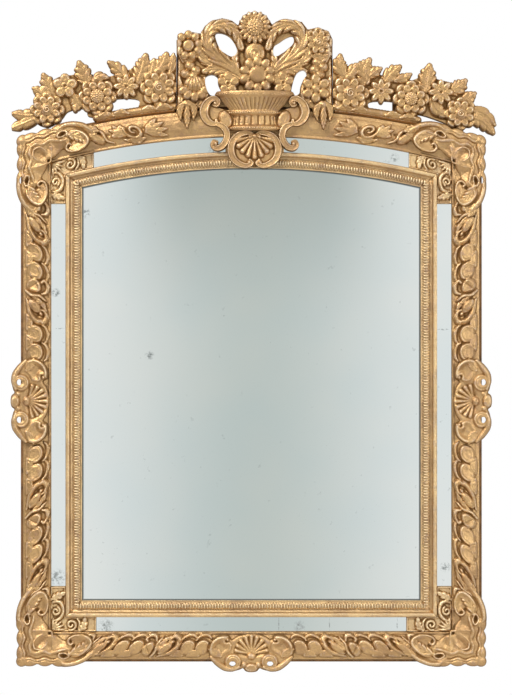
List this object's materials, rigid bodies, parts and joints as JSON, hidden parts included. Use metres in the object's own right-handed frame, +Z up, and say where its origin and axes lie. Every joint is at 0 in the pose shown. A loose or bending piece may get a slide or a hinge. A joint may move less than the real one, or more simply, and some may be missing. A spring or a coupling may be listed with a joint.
{
  "type": "giltwood mirror",
  "caption": "Arched giltwood wall mirror with mirrored borders, carved corner and side cartouches, a pierced flower-basket cresting and swinging hanging rings.",
  "frame": {"origin": "on the wall plane at the back of the carcass, on the upright centre line, at the height of the side cartouches", "axes": "+Z up, +Y into the wall, +X to the right of someone who faces the glass"},
  "size_m": [1.169, 0.087, 1.5852],
  "materials": {
    "gilt_wood": "carved wood with worn water gilding over red bole",
    "carcass_pine": "old planed pine, ochre wash on the outer edges",
    "panel_pine": "old planed pine boards",
    "mirror_glass": "old silvered plate with light foxing",
    "wrought_iron": "dark forged iron"
  },
  "bodies": {
    "frame": {"back_panel_lower": "panel_pine", "back_panel_middle": "panel_pine", "back_panel_upper": "panel_pine", "basket": "gilt_wood", "basket_scroll_left": "gilt_wood", "basket_scroll_right": "gilt_wood", "batten_screws": "wrought_iron", "bottom_border_plate": "mirror_glass", "bottom_cartouche": "gilt_wood", "bottom_left_cartouche": "gilt_wood", "bottom_left_corner_panel": "gilt_wood", "bottom_right_cartouche": "gilt_wood", "bottom_right_corner_panel": "gilt_wood", "carcass_bottom_rail": "carcass_pine", "carcass_hanging_rail": "carcass_pine", "carcass_left_stile": "carcass_pine", "carcass_mid_rail": "carcass_pine", "carcass_right_stile": "carcass_pine", "carcass_top_rail": "carcass_pine", "crest_batten_centre_left": "carcass_pine", "crest_batten_centre_right": "carcass_pine", "crest_batten_left": "carcass_pine", "crest_batten_right": "carcass_pine", "crest_centre": "gilt_wood", "crest_left_wing": "gilt_wood", "crest_right_wing": "gilt_wood", "hanger_screws": "wrought_iron", "hanger_strap_left": "wrought_iron", "hanger_strap_right": "wrought_iron", "inner_moulding_bottom": "gilt_wood", "inner_moulding_left": "gilt_wood", "inner_moulding_right": "gilt_wood", "inner_moulding_top": "gilt_wood", "left_border_plate": "mirror_glass", "left_cartouche": "gilt_wood", "main_plate": "mirror_glass", "moulding_pins": "wrought_iron", "outer_moulding_bottom": "gilt_wood", "outer_moulding_left": "gilt_wood", "outer_moulding_right": "gilt_wood", "outer_moulding_top": "gilt_wood", "right_border_plate": "mirror_glass", "right_cartouche": "gilt_wood", "shell": "gilt_wood", "tenon_pegs": "carcass_pine", "top_left_border_plate": "mirror_glass", "top_left_cartouche": "gilt_wood", "top_left_corner_panel": "gilt_wood", "top_right_border_plate": "mirror_glass", "top_right_cartouche": "gilt_wood", "top_right_corner_panel": "gilt_wood"},
    "ring_left": {"hanger_ring_left": "wrought_iron"},
    "ring_right": {"hanger_ring_right": "wrought_iron"}
  },
  "joints": [
    {"name": "left_ring_hinge", "type": "hinge", "parent": "frame", "child": "ring_left", "pos_m": [-0.3, -0.0052, 0.3204], "axis": [1, 0, 0], "range_deg": [0, 180]},
    {"name": "right_ring_hinge", "type": "hinge", "parent": "frame", "child": "ring_right", "pos_m": [0.3, -0.0052, 0.3204], "axis": [1, 0, 0], "range_deg": [0, 180]}
  ]
}
